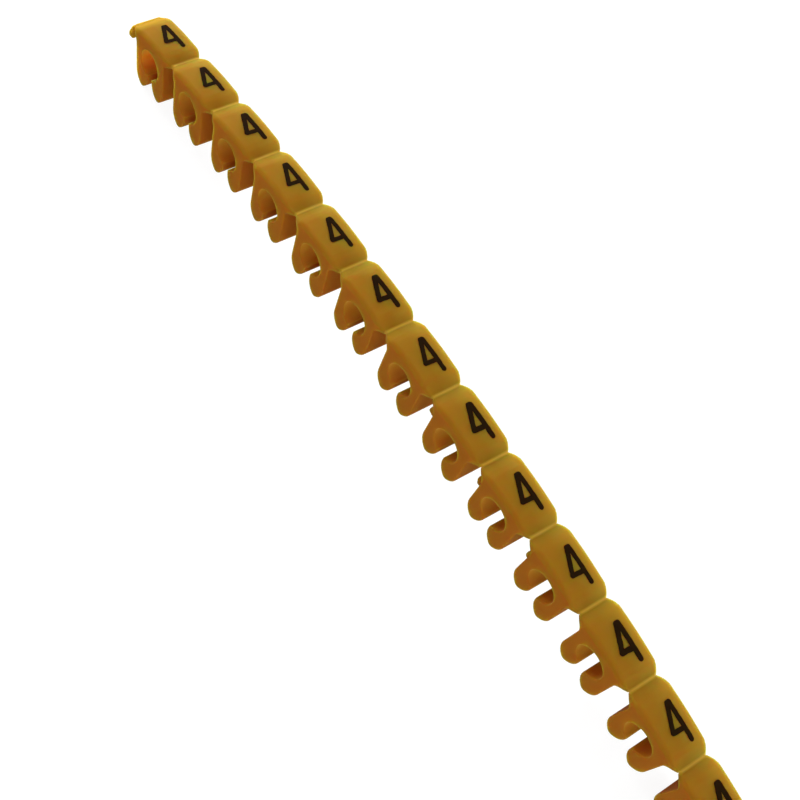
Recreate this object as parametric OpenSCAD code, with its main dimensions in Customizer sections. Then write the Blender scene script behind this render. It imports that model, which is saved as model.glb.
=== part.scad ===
// Strip of clip-on cable markers, moulded in one piece.
// The strip runs along X and bows upwards, each marker clips over a cable that runs along Y,
// and the number plates face up. Each web is a thin bead at which one marker breaks off the next.

/* [Strip] */
// Number of markers in the strip
marker_count = 13; // [3:1:25]
// Distance from one web to the next
pitch = 4.8; // [4.6:0.05:6]
// Angle by which each marker is tipped against the one before it
bow_deg = 1.75; // [0:0.05:2.4]

/* [Number plate] */
// Width of the number plate along the cable
plate_w = 2.45; // [2.1:0.05:3]
// Length of the flat that carries the number
plate_l = 3.2; // [2.6:0.05:3.4]
// Height of the flat above the middle of the webs
plate_rise = 0.55; // [0.4:0.05:0.7]
// Rounding of the flat's two long edges
plate_edge_r = 0.2; // [0.1:0.05:0.35]

/* [Webs] */
// Thickness of the bead that links two markers
web_d = 0.32; // [0.28:0.02:0.44]
// Width of the bead, which the tapered marker ends run down to
web_w = 1.85; // [1.4:0.05:2]
// Height by which the bead stands proud of the marker ends, above and below
web_proud = 0.04; // [0.02:0.01:0.08]

/* [Clip] */
// Height of a marker from the flat to the tips of the claws
clip_h = 4.15; // [3.95:0.05:5]
// Width of the clip across the outsides of its two claws
clip_w = 3.4; // [3.1:0.05:3.8]
// Bore that grips the cable
bore_d = 2.1; // [1.8:0.05:2.4]
// Material between the bore and the flat
roof = 0.85; // [0.7:0.05:1]
// Gap between the claws, through which the cable is pressed in
mouth_w = 0.54; // [0.3:0.02:0.7]
// Thickness of the marker's end where the claw hangs from it
shoulder = 0.7; // [0.65:0.01:0.95]
// Fillet between a claw and the marker's end
root_r = 0.4; // [0.2:0.05:0.45]
// Radius of the long curves that draw a claw in to its tip
tip_side_r = 1.2; // [1:0.05:1.8]
// Radius of the tip itself
tip_r = 0.35; // [0.2:0.05:0.5]
// Draft by which a marker widens along the cable from its flat down to its tips
draft_deg = 2.2; // [0.4:0.2:3]

/* [Broken end] */
// Thickness of the stub left where the strip was broken off
stub_d = 0.5; // [0.4:0.02:0.6]
// How far the stub stands out past the web
stub_l = 0.5; // [0.3:0.05:0.6]
// How far the stub hangs below the web
stub_drop = 0.16; // [0:0.02:0.2]

/* [Hidden] */
$fn = 64;

// Heights and places within one marker: x along the strip from its middle, z up from the webs
web_r = web_d / 2;
end_r = web_r - web_proud;
bore_r = bore_d / 2;
bore_z = plate_rise - roof - bore_r;
claw_w = (clip_w - mouth_w) / 2;
claw_x = (mouth_w + claw_w) / 2;
shoulder_z = plate_rise - shoulder;
claw_z = plate_rise - clip_h;

// Half the width along the cable, at a depth below the flat
function half_w(depth) = plate_w / 2 + depth * tan(draft_deg);
root_half_w = half_w(shoulder + root_r);
tip_half_w = half_w(clip_h);
edge_reach = plate_edge_r * tan(45 - draft_deg / 2);

// A claw's tip: two long arcs that meet the claw's sides, closed by a small arc that touches both
tip_lean = tip_side_r - claw_w / 2;
tip_reach = sqrt(pow(tip_side_r - tip_r, 2) - pow(tip_lean, 2));
tip_z = claw_z + tip_r;
tip_base_z = tip_z + tip_reach;
tip_touch_z = tip_z - tip_r * tip_reach / (tip_side_r - tip_r);

// The bow: tilt of each marker about Y, the webs between them, and each marker's middle
function tilt(i) = (i - (marker_count - 1) / 2) * bow_deg;
function web_at(i) = i == 0 ? [0, 0] : web_at(i - 1) + pitch * [cos(tilt(i - 1)), -sin(tilt(i - 1))];
function middle(i) = (web_at(i) + web_at(i + 1)) / 2;

// The strip rests on the outer claw tips of its first and last marker
strip_mid_x = web_at(marker_count)[0] / 2;
rest_tip = [-claw_x, tip_z];
rest_z = middle(0)[1] - rest_tip[0] * sin(tilt(0)) + rest_tip[1] * cos(tilt(0)) - tip_r;

// One claw, seen along the cable, hanging on the far side of the mouth
module claw_outline() {
    translate([mouth_w / 2, tip_base_z])
        square([claw_w, shoulder_z - tip_base_z + root_r]);
    intersection() {
        translate([claw_x - tip_lean, tip_base_z])
            circle(tip_side_r);
        translate([claw_x + tip_lean, tip_base_z])
            circle(tip_side_r);
        union() {
            translate([mouth_w / 2, tip_touch_z])
                square([claw_w, tip_base_z - tip_touch_z]);
            translate([claw_x, tip_z])
                circle(tip_r);
        }
    }
    translate([clip_w / 2, shoulder_z - root_r])
        difference() {
            square(root_r);
            translate([root_r, 0])
                circle(root_r);
        }
}

// A marker seen along the cable: sloped ends, roof, two claws and the bore between them
module side_outline() {
    difference() {
        union() {
            polygon([
                [-pitch / 2, -end_r], [-pitch / 2, end_r],
                [-plate_l / 2, plate_rise], [plate_l / 2, plate_rise],
                [pitch / 2, end_r], [pitch / 2, -end_r],
                [clip_w / 2 + root_r, shoulder_z], [-clip_w / 2 - root_r, shoulder_z],
            ]);
            translate([-clip_w / 2, tip_base_z])
                square([clip_w, shoulder_z - tip_base_z]);
            claw_outline();
            mirror([1, 0])
                claw_outline();
        }
        translate([0, bore_z])
            circle(bore_r);
        translate([-mouth_w / 2, claw_z])
            square([mouth_w, bore_z - claw_z]);
    }
}

// A marker seen from above: full width over the clip, drawn in to the webs at both ends
module plan_outline() {
    polygon([
        [-pitch / 2, -web_w / 2], [-clip_w / 2, -root_half_w],
        [-clip_w / 2, -tip_half_w], [clip_w / 2, -tip_half_w],
        [clip_w / 2, -root_half_w], [pitch / 2, -web_w / 2],
        [pitch / 2, web_w / 2], [clip_w / 2, root_half_w],
        [clip_w / 2, tip_half_w], [-clip_w / 2, tip_half_w],
        [-clip_w / 2, root_half_w], [-pitch / 2, web_w / 2],
    ]);
}

// A marker seen along the strip: drafted sides, and the flat's long edges rounded
module end_outline() {
    edge_x = plate_w / 2 - edge_reach;
    edge_half_w = half_w(edge_reach * cos(draft_deg));
    edge_z = plate_rise - edge_reach * cos(draft_deg);
    polygon([
        [-tip_half_w, claw_z], [tip_half_w, claw_z],
        [edge_half_w, edge_z], [edge_x, plate_rise],
        [-edge_x, plate_rise], [-edge_half_w, edge_z],
    ]);
    for (side = [-1, 1])
        translate([side * edge_x, plate_rise - plate_edge_r])
            circle(plate_edge_r);
}

// One marker, with its middle at the origin and its webs at the height of the origin
module marker() {
    intersection() {
        rotate([90, 0, 0])
            linear_extrude(height = 2 * tip_half_w, center = true)
                side_outline();
        translate([0, 0, claw_z])
            linear_extrude(height = clip_h)
                plan_outline();
        rotate([90, 0, 90])
            linear_extrude(height = pitch, center = true)
                end_outline();
    }
}

// The bead that links two markers, or is left at an end of the strip
module web() {
    rotate([90, 0, 0])
        cylinder(d = web_d, h = web_w, center = true);
}

// The stub left where the strip was broken off: a round-ended lump on one end of the first web
module stub() {
    translate([0, stub_d / 2 - stub_l - web_w / 2, -stub_drop]) {
        sphere(d = stub_d);
        rotate([-90, 0, 0])
            cylinder(d = stub_d, h = stub_l);
    }
}

// The whole strip, bowed, with the tips of its end claws on the ground
module marker_strip() {
    color("gold")
        translate([-strip_mid_x, 0, -rest_z]) {
            for (i = [0:marker_count - 1])
                translate([middle(i)[0], 0, middle(i)[1]])
                    rotate([0, tilt(i), 0])
                        marker();
            for (i = [0:marker_count])
                translate([web_at(i)[0], 0, web_at(i)[1]])
                    web();
            stub();
        }
}

marker_strip();
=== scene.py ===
import math
import random

import bmesh
import bpy
from mathutils import Matrix, Quaternion, Vector, noise


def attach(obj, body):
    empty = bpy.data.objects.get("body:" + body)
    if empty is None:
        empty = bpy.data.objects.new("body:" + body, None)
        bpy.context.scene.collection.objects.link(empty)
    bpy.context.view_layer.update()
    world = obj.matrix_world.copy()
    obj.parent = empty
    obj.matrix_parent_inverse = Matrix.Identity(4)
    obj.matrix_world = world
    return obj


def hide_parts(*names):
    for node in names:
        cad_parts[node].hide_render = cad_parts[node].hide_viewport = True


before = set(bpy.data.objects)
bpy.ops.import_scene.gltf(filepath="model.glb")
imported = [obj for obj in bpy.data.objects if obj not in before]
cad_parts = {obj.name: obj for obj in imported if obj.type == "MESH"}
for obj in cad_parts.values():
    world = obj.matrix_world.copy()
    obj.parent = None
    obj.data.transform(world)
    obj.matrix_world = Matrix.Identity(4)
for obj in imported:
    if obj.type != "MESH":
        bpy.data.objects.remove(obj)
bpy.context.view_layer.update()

# The marker strip
# One injection moulding in yellow, slightly translucent plastic: a bowed row of cable markers that
# hang together by thin webs. Each marker is a number plate over a split clip that grips a wire.
MM = 0.001
MARKERS = 13
PITCH = 4.8
BOW = math.radians(1.75)
PLATE_W, PLATE_L, PLATE_RISE = 2.60, 3.2, 0.55
PLATE_EDGE, SLOPE_EDGE, CROWN = 0.34, 0.24, 0.08
WEB_D, WEB_W, WEB_PROUD = 0.32, 1.80, 0.04
CLIP_H, CLIP_W, BORE_D, ROOF, MOUTH_W = 4.15, 3.4, 2.1, 0.85, 0.54
SHOULDER, ROOT_R, TIP_SIDE_R, TIP_R = 0.7, 0.4, 1.2, 0.35
DRAFT = math.tan(math.radians(1.16))
WEB_EDGE, CLAW_EDGE = 0.06, 0.09
CREST_SOFT = 0.28
SLOPE_AT = (2.25, 2.18, 2.08, 1.97)
CREST_AT = (0, 0.15, 0.3, 0.45, 0.6, 0.8, 1)
ROUNDING = [math.radians(a) for a in (0, 18, 36, 54, 72, 90)]

half_pitch, half_flat, half_clip = PITCH / 2, PLATE_L / 2, CLIP_W / 2
web_r = WEB_D / 2
end_r = web_r - WEB_PROUD
bore_r = BORE_D / 2
bore_z = PLATE_RISE - ROOF - bore_r
claw_w = (CLIP_W - MOUTH_W) / 2
claw_x = (MOUTH_W + claw_w) / 2
shoulder_z = PLATE_RISE - SHOULDER
tip_lean = TIP_SIDE_R - claw_w / 2
tip_reach = math.sqrt((TIP_SIDE_R - TIP_R) ** 2 - tip_lean ** 2)
tip_z = PLATE_RISE - CLIP_H + TIP_R
tip_base_z = tip_z + tip_reach
tip_turn = math.atan2(tip_reach, tip_lean)
slope = math.atan2(PLATE_RISE - end_r, half_pitch - half_flat)
root_half_w = PLATE_W / 2 + (SHOULDER + ROOT_R) * DRAFT


def tilt(i):
    """How far marker i is tipped by the bow, about Y."""
    return (i - (MARKERS - 1) / 2) * BOW


webs = [Vector((0, 0))]
for i in range(MARKERS):
    webs.append(webs[-1] + PITCH * Vector((math.cos(tilt(i)), -math.sin(tilt(i)))))
middles = [(a + b) / 2 for a, b in zip(webs, webs[1:])]
rest_z = middles[0].y + claw_x * math.sin(tilt(0)) + tip_z * math.cos(tilt(0)) - TIP_R


def strip_point(i, x, z):
    """A point of marker i's own side view, in the strip's side view."""
    c, s = math.cos(tilt(i)), math.sin(tilt(i))
    return Vector((middles[i].x - webs[-1].x / 2 + c * x + s * z, middles[i].y - rest_z - s * x + c * z))


def half_width(x, z):
    """Half the marker's width along the wire: drafted sides, rounded in to the webs beyond the clip."""
    beyond = min(1, max(0, (abs(x) - half_clip) / (half_pitch - half_clip)))
    drawn_in = (beyond + 1 - math.sqrt(1 - beyond ** 2)) / 2
    return PLATE_W / 2 + (PLATE_RISE - z) * DRAFT - (root_half_w - WEB_W / 2) * drawn_in


def crown(x):
    """How far the upper side has sunk: most where the flat ends, none at its middle and the webs."""
    out = abs(x) / half_flat
    return CROWN * (out ** 2 if out < 1 else (half_pitch - abs(x)) / (half_pitch - half_flat))


def arc(x, z, radius, start, end, steps):
    """Points along an arc of the side view, between two angles."""
    turns = [start + (end - start) * k / steps for k in range(steps + 1)]
    return [(x + radius * math.cos(t), z + radius * math.sin(t)) for t in turns]


def over_path():
    """The marker's upper line from its far web to its near one: x, z, side rounding and a name."""
    sin_slope = end_r * math.sin(slope)
    reach = math.sqrt(sin_slope ** 2 + web_r ** 2 - end_r ** 2) - sin_slope
    leave = math.atan2(reach * math.cos(slope), end_r + reach * math.sin(slope))
    up = [(x, z, WEB_EDGE, "") for x, z in arc(-half_pitch, 0, web_r, math.pi / 2, math.pi / 2 - leave, 3)]
    up[0] = (*up[0][:3], "crest")
    for x in SLOPE_AT:
        edge = SLOPE_EDGE - (SLOPE_EDGE - WEB_EDGE) * (x - half_flat) / (half_pitch - half_flat)
        up.append((-x, PLATE_RISE - (x - half_flat) * math.tan(slope), edge, ""))
    run, drop = CREST_SOFT * math.cos(slope), CREST_SOFT * math.sin(slope)
    up += [(-half_flat - run * (1 - k) ** 2 + CREST_SOFT * k * k, PLATE_RISE - drop * (1 - k) ** 2,
            SLOPE_EDGE + (PLATE_EDGE - SLOPE_EDGE) * k, "") for k in CREST_AT]
    up[-5] = (*up[-5][:3], "far split")
    up += [(half_flat * k, PLATE_RISE, PLATE_EDGE, "") for k in (-0.6, -0.3, 0)]
    up[4:] = [(x, z - crown(x), e, name) for x, z, e, name in up[4:]]
    return up + [(-x, z, e, name.replace("far", "near")) for x, z, e, name in up[-2:0:-1]]


def under_path():
    """The marker's lower line from its near web to its far one, round both claws and the bore."""
    root_x = half_clip + ROOT_R
    down = [(half_pitch, -web_r, WEB_EDGE, "bead")]
    down += [(half_pitch - web_r * math.sin(t), -web_r * math.cos(t), WEB_EDGE, "") for t in (0.3, 0.6)]
    down += [(x, z, WEB_EDGE + (CLAW_EDGE - WEB_EDGE) * k / 8, "") for k, (x, z) in
             enumerate(arc(root_x, shoulder_z - ROOT_R, ROOT_R, math.pi / 2, math.pi, 8))]
    down[-1] = (*down[-1][:3], "near root")
    side = [(half_clip, shoulder_z - ROOT_R + (tip_base_z - shoulder_z + ROOT_R) * k) for k in (0.33, 0.67)]
    tip = arc(claw_x - tip_lean, tip_base_z, TIP_SIDE_R, 0, -tip_turn, 6)
    tip += arc(claw_x, tip_z, TIP_R, -tip_turn, -math.pi + tip_turn, 8)[1:]
    tip += arc(claw_x + tip_lean, tip_base_z, TIP_SIDE_R, -math.pi + tip_turn, -math.pi, 6)[1:]
    mouth_turn = math.asin(MOUTH_W / BORE_D)
    wall = arc(0, bore_z, bore_r, mouth_turn - math.pi / 2, math.pi / 2, 22)
    down += [(x, z, CLAW_EDGE, "") for x, z in side + tip + wall]
    return down + [(-x, z, e, name.replace("near", "far")) for x, z, e, name in down[-2:0:-1]]


loop, owners, edges, named = [], [], [], {}


def add_points(i, path):
    """Puts a stretch of marker i's outline into the strip's, and keeps the named points."""
    for x, z, edge, name in path:
        if name:
            named[i, name] = len(loop)
        loop.append(Vector((x, z)))
        owners.append(i)
        edges.append(edge)


last = MARKERS - 1
for i in range(MARKERS):
    add_points(i, over_path())
add_points(last, [(half_pitch, web_r, WEB_EDGE, "end crest")])
add_points(last, [(x, z, WEB_EDGE, "") for x, z in
                  arc(half_pitch, 0, web_r, math.pi / 2, -math.pi / 2, 6)[1:-1]])
for i in reversed(range(MARKERS)):
    add_points(i, under_path())
add_points(0, [(-half_pitch, -web_r, WEB_EDGE, "end bead")])
add_points(0, [(x, z, WEB_EDGE, "") for x, z in
               arc(-half_pitch, 0, web_r, -math.pi / 2, -3 * math.pi / 2, 6)[1:-1]])

count = len(loop)
placed = [strip_point(i, *p) for i, p in zip(owners, loop)]
inward = []
for k in range(count):
    a = (placed[k] - placed[k - 1]).normalized()
    b = (placed[(k + 1) % count] - placed[k]).normalized()
    n = Vector((a.y + b.y, -a.x - b.x)).normalized()
    n = n / max(0.5, n.dot(Vector((a.y, -a.x))))
    inward.append(Matrix.Rotation(tilt(owners[k]), 2) @ n)

strip_mesh = bmesh.new()
rings = []
for side, turns in ((-1, ROUNDING[::-1]), (1, ROUNDING)):
    for turn in turns:
        ring = []
        for k in range(count):
            p = loop[k] + inward[k] * edges[k] * (1 - math.cos(turn))
            y = side * (half_width(*p) - edges[k] * (1 - math.sin(turn)))
            at = strip_point(owners[k], *p)
            ring.append(strip_mesh.verts.new((at.x * MM, y * MM, at.y * MM)))
        rings.append(ring)
for a, b in zip(rings, rings[1:]):
    for k in range(count):
        j = (k + 1) % count
        strip_mesh.faces.new((a[k], a[j], b[j], b[k]))


def between(first, final):
    """Numbers of the outline's points from one to another, onwards round the loop."""
    if first <= final:
        return list(range(first, final + 1))
    return list(range(first, count)) + list(range(final + 1))


def strips(upper, lower):
    """Triangles that join two lines of points, each of which runs away from the marker's middle."""
    def reach(line, k):
        return abs(loop[line[k]].x) if k < len(line) else math.inf

    out, a, b = [], 0, 0
    while a < len(upper) - 1 or b < len(lower) - 1:
        if reach(upper, a + 1) < reach(lower, b + 1):
            out.append((upper[a], upper[a + 1], lower[b]))
            a += 1
        else:
            out.append((upper[a], lower[b + 1], lower[b]))
            b += 1
    return out


side_faces = []
for i in range(MARKERS):
    near_crest = named[i + 1, "crest"] if i < last else named[i, "end crest"]
    far_bead = named[i - 1, "bead"] if i else named[0, "end bead"]
    side_faces.append(between(named[i, "far split"], named[i, "near split"])
                      + between(named[i, "near root"], named[i, "far root"]))
    side_faces += strips(between(named[i, "near split"], near_crest),
                         between(named[i, "bead"], named[i, "near root"])[::-1])
    side_faces += strips(between(named[i, "crest"], named[i, "far split"])[::-1],
                         between(named[i, "far root"], far_bead))
side_faces.append(between(named[last, "end crest"], named[last, "bead"]))
side_faces.append(between(named[0, "end bead"], count - 1) + [named[0, "crest"]])
for ring in (rings[0], rings[-1]):
    for face in side_faces:
        strip_mesh.faces.new([ring[k] for k in face])
bmesh.ops.recalc_face_normals(strip_mesh, faces=strip_mesh.faces)
strip_data = bpy.data.meshes.new("moulded_body")
strip_mesh.to_mesh(strip_data)
strip_mesh.free()
body = bpy.data.objects.new("moulded_body", strip_data)
bpy.context.collection.objects.link(body)

# The lip where the strip was broken off, in two lumps, then flash in the corners of three markers
LUMPS = ((0, (-2.32, -1.02, -0.30), (0.30, 0.385, 0.36), 0.10),
         (0, (-2.38, -0.93, -0.10), (0.20, 0.30, 0.23), 0),
         (7, (-1.84, -1.05, -0.52), (0.30, 0.25, 0.34), 0),
         (8, (-1.80, -1.06, -0.70), (0.30, 0.24, 0.36), 0),
         (9, (-1.74, -1.09, -0.76), (0.20, 0.20, 0.28), 0))
RAGGED, RAGGED_SCALE, RAGGED_STEP = 0.18, 1.6, 2.7
lump_mesh = bmesh.new()
for i, centre, size, droop in LUMPS:
    elsewhere = Vector((i * RAGGED_STEP, 0, 0))
    for vertex in bmesh.ops.create_icosphere(lump_mesh, subdivisions=4, radius=1)["verts"]:
        p = vertex.co * (1 + RAGGED * noise.noise(vertex.co * RAGGED_SCALE + elsewhere))
        q = strip_point(i, centre[0] + size[0] * p.x, centre[2] + size[2] * p.z + droop * p.y)
        vertex.co = Vector((q.x, centre[1] + size[1] * p.y, q.y)) * MM
lump_data = bpy.data.meshes.new("flash_lumps")
lump_mesh.to_mesh(lump_data)
lump_mesh.free()
lumps = bpy.data.objects.new("flash_lumps", lump_data)
bpy.context.collection.objects.link(lumps)
joined = body.modifiers.new("joined", "BOOLEAN")
joined.operation, joined.solver, joined.object = "UNION", "EXACT", lumps
joined.use_self = True
strip_data = bpy.data.meshes.new_from_object(body.evaluated_get(bpy.context.evaluated_depsgraph_get()))
strip_data.name = "marker_strip_moulding"
for spare in (body, lumps):
    spare_data = spare.data
    bpy.data.objects.remove(spare)
    bpy.data.meshes.remove(spare_data)
for polygon in strip_data.polygons:
    polygon.use_smooth = True
strip = bpy.data.objects.new("marker_strip_moulding", strip_data)
bpy.context.collection.objects.link(strip)
weighted = strip.modifiers.new("even_shading", "WEIGHTED_NORMAL")
weighted.weight = 100


class Wire:
    """A node's output, so that shader maths reads as Python."""

    def __init__(self, tree, socket):
        self.tree, self.socket = tree, socket

    def node(self, kind, settings=None, output=0, **inputs):
        """Adds a node, sets it up, joins its sockets and gives the wire of one output."""
        made = self.tree.nodes.new(kind)
        for key, value in (settings or {}).items():
            setattr(made, key, value)
        for key, value in inputs.items():
            numbered = key[0] == "i" and key[1:].isdigit()
            target = made.inputs[int(key[1:]) if numbered else key.replace("_", " ")]
            if isinstance(value, Wire):
                self.tree.links.new(value.socket, target)
            else:
                target.default_value = value
        return Wire(self.tree, made.outputs[output])

    def blend(self, first, second):
        """A colour between two, with this wire as the share of the second."""
        return self.node("ShaderNodeMix", {"data_type": "RGBA"}, 2, i0=self, i6=first, i7=second)

    def feed(self, socket):
        self.tree.links.new(self.socket, socket)

    def maths(self, operation, a, b):
        return self.node("ShaderNodeMath", {"operation": operation}, i0=a, i1=b)

    def __add__(self, other):
        return self.maths("ADD", self, other)

    def __mul__(self, other):
        return self.maths("MULTIPLY", self, other)

    def __sub__(self, other):
        return self.maths("SUBTRACT", self, other)

    def __rsub__(self, other):
        return self.maths("SUBTRACT", other, self)

    __radd__ = __add__
    __rmul__ = __mul__


def new_material(name):
    """A material with one principled shader, its sockets, and the wire that its nodes start from."""
    material = bpy.data.materials.new(name)
    material.use_nodes = True
    tree = material.node_tree
    place = tree.nodes.new("ShaderNodeTexCoord")
    return material, tree.nodes["Principled BSDF"].inputs, Wire(tree, place.outputs["Object"])


# The plastic, an olive skin over an orange depth that shows through it
CLOUD_SCALE, GRAIN_SCALE = 420.0, 9000.0
SKIN_DEPTH, GLOW_DEPTH, SHINE = 0.7, 3.0, 0.005
FLAT_LEFT = (0.042, 0.197, 0.0065, 1), (0.046, 0.214, 0.0080, 1)
# Painted light: the flats grow paler and greener towards their right-hand side, where the lamps light them
# more
FLAT_RIGHT_PAINTED_LIGHT = (0.072, 0.300, 0.0200, 1), (0.078, 0.325, 0.0240, 1)
# Painted light and shade: the side faces get their own redder colours, tuned to how the lamps fall on them
SIDE_SKIN_PAINTED_LIGHTING = (0.068, 0.158, 0.0066, 1), (0.074, 0.172, 0.0080, 1)
# Painted light: the bore's walls are made paler, standing in for light that reaches inside the bore
BORE_PAINTED_LIGHT_SKIN = (0.18, 0.40, 0.020, 1)
# Painted highlight: the web beads are made paler and yellower, standing in for light shining through the
# thin webs
WEB_PAINTED_HIGHLIGHT = (0.52, 0.50, 0.060, 1)
# Painted light and shade: the broken lip gets its own colour, which stands in for less of the lamps' orange
# glow through it
LIP_PAINTED_LIGHTING = (0.300, 0.190, 0.012, 1)
FLAT_GLOW = (0.435, 0.036, 0.009, 1), (0.465, 0.042, 0.011, 1)
# The same painted light and shade on the side faces, in the orange depth
SIDE_GLOW_PAINTED_LIGHTING = (0.500, 0.041, 0.011, 1), (0.535, 0.048, 0.013, 1)
# The same painted light in the bore, in the orange depth
BORE_PAINTED_LIGHT_GLOW = (0.90, 0.22, 0.04, 1)
WEB_FADE, TOP_FADE = 0.14, 0.25
TOP_STEEP, TOP_FROM = 3, 0.3
BORE_STEEP = 12
LIP_STEEP, LIP_FROM = 8, -6.25
RIGHT_SHARE, RIGHT_REACH = 0.2, 1.4
# How much the orange depth shows; it is cut back at the broken lip as painted shade
GLOW_SHARE, LIP_SHARE = 0.5, 0.38
plastic, finish, place = new_material("yellow_marker_plastic")
finish["Subsurface Weight"].default_value = 1.0
finish["Subsurface Radius"].default_value = (1.0, 1.0, 0.3)
finish["Subsurface Scale"].default_value = SKIN_DEPTH * MM
finish["Specular IOR Level"].default_value = SHINE
clouds = place.node("ShaderNodeTexNoise", Vector=place, Scale=CLOUD_SCALE, Detail=3.0, Roughness=0.55)
grain = place.node("ShaderNodeTexNoise", Vector=place, Scale=GRAIN_SCALE, Detail=2.0)
up = place.node("ShaderNodeSeparateXYZ", None, "Z", i0=place.node("ShaderNodeTexCoord", None, "Normal"))
at_x, at_y, at_z = (place.node("ShaderNodeSeparateXYZ", None, axis, i0=place) for axis in "XYZ")

# Where a point is on the bow: along it in markers, off the nearest web, off the line of webs, off the bore
bow_r = PITCH / (2 * math.sin(BOW / 2))
bow_z = strip_point(MARKERS // 2, half_pitch, 0).y - bow_r * math.cos(BOW / 2)
over = at_z - bow_z * MM
along = place.maths("ARCTAN2", at_x, over) * (1 / BOW)
web_off = place.maths("ABSOLUTE", place.maths("FRACT", along, 0) - 0.5, 0) * PITCH
off_webs = place.maths("SQRT", at_x * at_x + over * over, 0) - bow_r * MM
bore_along, bore_up = half_pitch - web_off, off_webs * (1 / MM) - bore_z
off_bore = place.maths("SQRT", bore_along * bore_along + bore_up * bore_up, 0)
# Share of the webs' painted highlight, highest along each web
thin = 1 - web_off * (1 / WEB_FADE)
# Share of the bore's painted light, highest on the bore's walls
bore_painted_light = 1 + BORE_STEEP - BORE_STEEP * off_bore
# Share of the tops' colours: up-facing outer faces take them, every other face the sides' painted light and
# shade
top = place.maths("MINIMUM", TOP_STEEP * up - TOP_FROM, 1 + off_webs * (1 / (TOP_FADE * MM)))
# Share of the lip's painted light and shade, at the far end of the strip
lip = place.maths("MINIMUM", 1, place.maths("MAXIMUM", 0, LIP_FROM * LIP_STEEP - LIP_STEEP * along))
# Share of the flats' painted light, growing across the width towards the right-hand side
right = RIGHT_SHARE + at_y * (1 / (RIGHT_REACH * MM))

flats = right.blend(clouds.blend(*FLAT_LEFT), clouds.blend(*FLAT_RIGHT_PAINTED_LIGHT))
side_colours_painted = bore_painted_light.blend(clouds.blend(*SIDE_SKIN_PAINTED_LIGHTING), BORE_PAINTED_LIGHT_SKIN)
# The skin's colour: the sides' painted light and shade under the tops' colours, then the webs' painted
# highlight and the lip's painted light and shade
lip.blend(thin.blend(top.blend(side_colours_painted, flats), WEB_PAINTED_HIGHLIGHT), LIP_PAINTED_LIGHTING).feed(finish["Base Color"])
(0.42 + 0.16 * clouds).feed(finish["Roughness"])
bumps = place.node("ShaderNodeBump", Height=grain, Strength=0.12, Distance=0.01 * MM)
bumps.feed(finish["Normal"])
# The orange depth's colours, with the same painted light and shade on the sides and in the bore
glow = top.blend(bore_painted_light.blend(clouds.blend(*SIDE_GLOW_PAINTED_LIGHTING), BORE_PAINTED_LIGHT_GLOW), clouds.blend(*FLAT_GLOW))
deep = place.node("ShaderNodeBsdfPrincipled", Base_Color=glow, Subsurface_Weight=1.0,
                  Subsurface_Radius=(1.0, 0.8, 0.2), Subsurface_Scale=GLOW_DEPTH * MM,
                  Specular_IOR_Level=SHINE, Roughness=0.5, Normal=bumps)
layers = plastic.node_tree.nodes
skin = Wire(plastic.node_tree, layers["Principled BSDF"].outputs[0])
both = place.node("ShaderNodeMixShader", i0=GLOW_SHARE - LIP_SHARE * lip, i1=skin, i2=deep)
both.feed(layers["Material Output"].inputs["Surface"])
strip_data.materials.append(plastic)
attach(strip, "root")
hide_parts("marker_strip")

# The printed numbers
# A black figure stamped on every number plate: a film of ink a few microns thick, with slightly
# uneven edges where it took to the plastic more or less heavily.
INK_UP, INK_THICK = 0.003, 0.010
INK_STEP, INK_SHIFT = 0.07, 0.03
WANDER, WANDER_SCALE, WANDER_STEP, WANDER_APART = 0.018, 5, 7.3, Vector((40, 0, 0))
LIGHTEST, HEAVIEST = 0.92, 1.10
STROKE = 0.295
SLANT_TOP, STEM_TOP = Vector((-0.97, 0.33)), Vector((-0.97, 0.47))
STEM_END = Vector((1.26, 0.49))
CORNER = Vector((0.52, -0.32))
BAR_END = Vector((0.56, 0.41))


def fan(centre, radius, start, end, steps=5):
    """Points round a stroke's end, from one direction to another the short way."""
    first = math.atan2(start.y, start.x)
    turn = (math.atan2(end.y, end.x) - first + math.pi) % (2 * math.pi) - math.pi
    turns = [first + turn * k / steps for k in range(steps + 1)]
    return [centre + radius * Vector((math.cos(t), math.sin(t))) for t in turns]


def meet(p, along, q, across):
    """Where a line from p and a line from q cross."""
    d = q - p
    return p + along * ((d.x * across.y - d.y * across.x) / (along.x * across.y - along.y * across.x))


def number_four(weight):
    """Outer line and counter of the figure: x down the figure, y to its right."""
    h = STROKE * weight / 2
    slant, bar, stem = ((b - a).normalized() for a, b in
                        ((SLANT_TOP, CORNER), (CORNER, BAR_END), (STEM_TOP, STEM_END)))
    out, low, left = (Vector((d.y, -d.x)) for d in (slant, bar, stem))
    outer = fan(STEM_TOP, h, -left, Vector((-1, 0)))
    outer += fan(SLANT_TOP, h, Vector((-1, 0)), out)
    outer += fan(CORNER, h, out, low)
    outer.append(meet(CORNER + low * h, bar, STEM_END + left * h, stem))
    outer += fan(STEM_END, h, left, stem) + fan(STEM_END, h, stem, -left)[1:]
    counter = [meet(CORNER - low * h, bar, CORNER - out * h, slant),
               meet(CORNER - low * h, bar, STEM_END + left * h, stem),
               meet(STEM_END + left * h, stem, CORNER - out * h, slant)]
    return outer, counter


def ink_outline(points, seed):
    """A closed line cut into short steps, with each step pushed a little off its place."""
    out = []
    for a, b in zip(points, points[1:] + points[:1]):
        steps = max(1, int((b - a).length / INK_STEP))
        for k in range(steps):
            p = a.lerp(b, k / steps)
            at = Vector((p.x * WANDER_SCALE, p.y * WANDER_SCALE, seed * WANDER_STEP))
            out.append(p + WANDER * Vector((noise.noise(at), noise.noise(at + WANDER_APART))))
    return out


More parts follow.
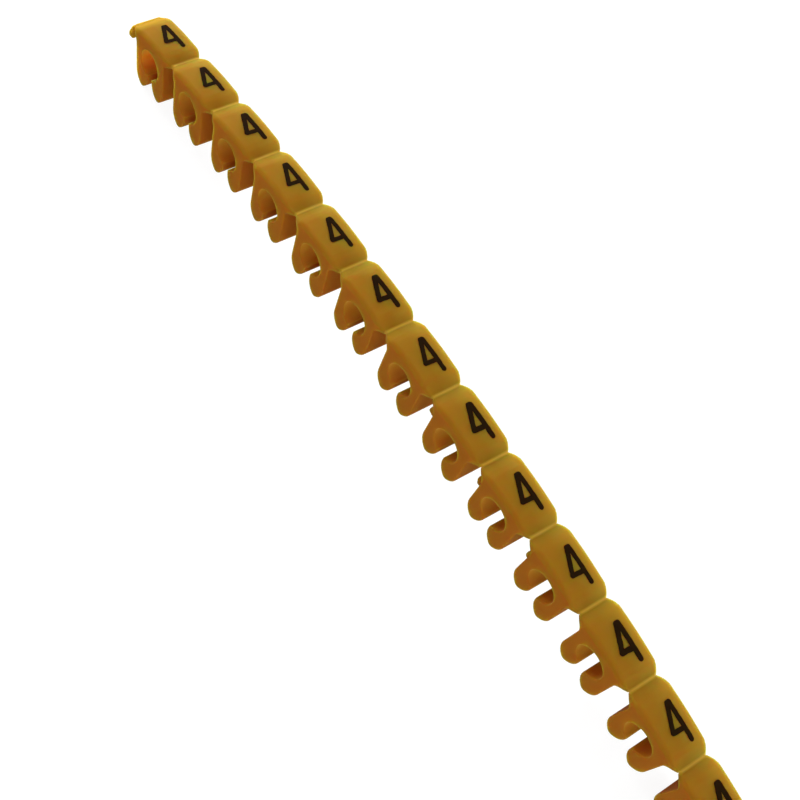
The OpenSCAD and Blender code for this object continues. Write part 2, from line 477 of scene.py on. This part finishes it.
draw = random.Random(4)
number_mesh = bmesh.new()
for i in range(MARKERS):
    figure = bmesh.new()
    lines = []
    shift = Vector((draw.uniform(-INK_SHIFT, INK_SHIFT), draw.uniform(-INK_SHIFT, INK_SHIFT)))
    for n, points in enumerate(number_four(draw.uniform(LIGHTEST, HEAVIEST))):
        ring = [figure.verts.new((p.x, p.y, 0)) for p in ink_outline([q + shift for q in points], i * 2 + n)]
        lines += [figure.edges.new((a, b)) for a, b in zip(ring, ring[1:] + ring[:1])]
    bmesh.ops.triangle_fill(figure, edges=lines, use_beauty=True, use_dissolve=False)
    raised = bmesh.ops.extrude_face_region(figure, geom=figure.faces[:])
    for vertex in raised["geom"]:
        if isinstance(vertex, bmesh.types.BMVert):
            vertex.co.z += INK_THICK
    for vertex in figure.verts:
        p = strip_point(i, vertex.co.x, PLATE_RISE - crown(vertex.co.x) + INK_UP + vertex.co.z)
        vertex.co = Vector((p.x, vertex.co.y, p.y)) * MM
    bmesh.ops.recalc_face_normals(figure, faces=figure.faces)
    figure_data = bpy.data.meshes.new("figure")
    figure.to_mesh(figure_data)
    figure.free()
    number_mesh.from_mesh(figure_data)
    bpy.data.meshes.remove(figure_data)
number_data = bpy.data.meshes.new("printed_numbers")
number_mesh.to_mesh(number_data)
number_mesh.free()

ink, ink_finish, place = new_material("number_ink")
ink_finish["Specular IOR Level"].default_value = 0.01
cover = place.node("ShaderNodeTexNoise", Vector=place, Scale=2600.0, Detail=3.0)
cover.blend((0.0080, 0.0035, 0.0010, 1), (0.0170, 0.0080, 0.0022, 1)).feed(ink_finish["Base Color"])
(0.70 + 0.2 * cover).feed(ink_finish["Roughness"])
number_data.materials.append(ink)
numbers = bpy.data.objects.new("printed_numbers", number_data)
bpy.context.collection.objects.link(numbers)
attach(numbers, "root")

# The studio
# A plain pale floor with a turned-up rim, which glows white and throws no light back on the strip,
# four wide soft lights, the strongest from the far end, an even light from all round, and the
# photograph's viewpoint.
FLOOR_GLOW, EVEN_LIGHT = 0.9, 0.29
RIM = ((1.2, 0), (1.5, 0.04), (1.75, 0.15), (1.92, 0.35), (2.0, 0.65), (2.0, 1.5))
RIM_STEPS = 96
rim_turns = [2 * math.pi * k / RIM_STEPS for k in range(RIM_STEPS)]
floor_points = [(r * math.cos(t), r * math.sin(t), z) for r, z in RIM for t in rim_turns]
floor_faces = [list(range(RIM_STEPS))]
for n in range(len(RIM) - 1):
    for k in range(RIM_STEPS):
        a, b = n * RIM_STEPS + k, n * RIM_STEPS + (k + 1) % RIM_STEPS
        floor_faces.append((a, b, b + RIM_STEPS, a + RIM_STEPS))
floor_mesh = bpy.data.meshes.new("studio_floor")
floor_mesh.from_pydata(floor_points, [], floor_faces)
floor = bpy.data.objects.new("studio_floor", floor_mesh)
bpy.context.collection.objects.link(floor)
pale, pale_finish, place = new_material("pale_floor")
mottle = place.node("ShaderNodeTexNoise", Vector=place, Scale=30.0)
mottle.blend((0.15, 0.15, 0.15, 1), (0.16, 0.16, 0.16, 1)).feed(pale_finish["Base Color"])
pale_finish["Emission Color"].default_value = (1, 1, 1, 1)
pale_finish["Emission Strength"].default_value = FLOOR_GLOW
pale_finish["Roughness"].default_value = 0.9
pale_finish["Specular IOR Level"].default_value = 0.1
floor_mesh.materials.append(pale)
floor.visible_diffuse = floor.visible_glossy = floor.visible_shadow = False

scene = bpy.context.scene
scene.view_settings.view_transform = "Standard"
surround = bpy.data.worlds.new("surround")
surround.use_nodes = True
surround.node_tree.nodes["Background"].inputs["Color"].default_value = (1, 1, 1, 1)
surround.node_tree.nodes["Background"].inputs["Strength"].default_value = EVEN_LIGHT
scene.world = surround

for name, spot, size, power in (("key_light", (-0.313, 0.084, 0.131), 0.35, 2.75),
                                ("side_light", (0.255, 0.214, 0.108), 0.30, 1.30),
                                ("near_light", (0.28, -0.196, 0.073), 0.25, 0.72),
                                ("front_light", (-0.20, -0.28, 0.035), 0.22, 0.22)):
    lamp = bpy.data.lights.new(name, "AREA")
    lamp.size, lamp.energy = size, power
    light = bpy.data.objects.new(name, lamp)
    light.location = spot
    light.rotation_euler = (-light.location).to_track_quat("-Z", "Y").to_euler()
    bpy.context.collection.objects.link(light)

FOCAL_PX, IMAGE_PX, SENSOR = 1434.75, 800, 36
TURN = Vector((2.2279, 1.2638, -0.0732))
AWAY = Vector((0.2717, -0.4827, 17.0118)) * PITCH
view = Quaternion(TURN.normalized(), TURN.length).to_matrix()
look_at = Vector((0, 0, strip_point(MARKERS // 2, 0, 0).y))
camera_data = bpy.data.cameras.new("camera")
camera_data.sensor_width = SENSOR
camera_data.lens = FOCAL_PX * SENSOR / IMAGE_PX
camera_data.clip_start, camera_data.clip_end = 0.005, 10
camera = bpy.data.objects.new("camera", camera_data)
turned = view.transposed() @ Matrix(((1, 0, 0), (0, -1, 0), (0, 0, -1)))
stand = (look_at - view.transposed() @ AWAY) * MM
camera.matrix_world = Matrix.Translation(stand) @ turned.to_4x4()
bpy.context.collection.objects.link(camera)
scene.camera = camera
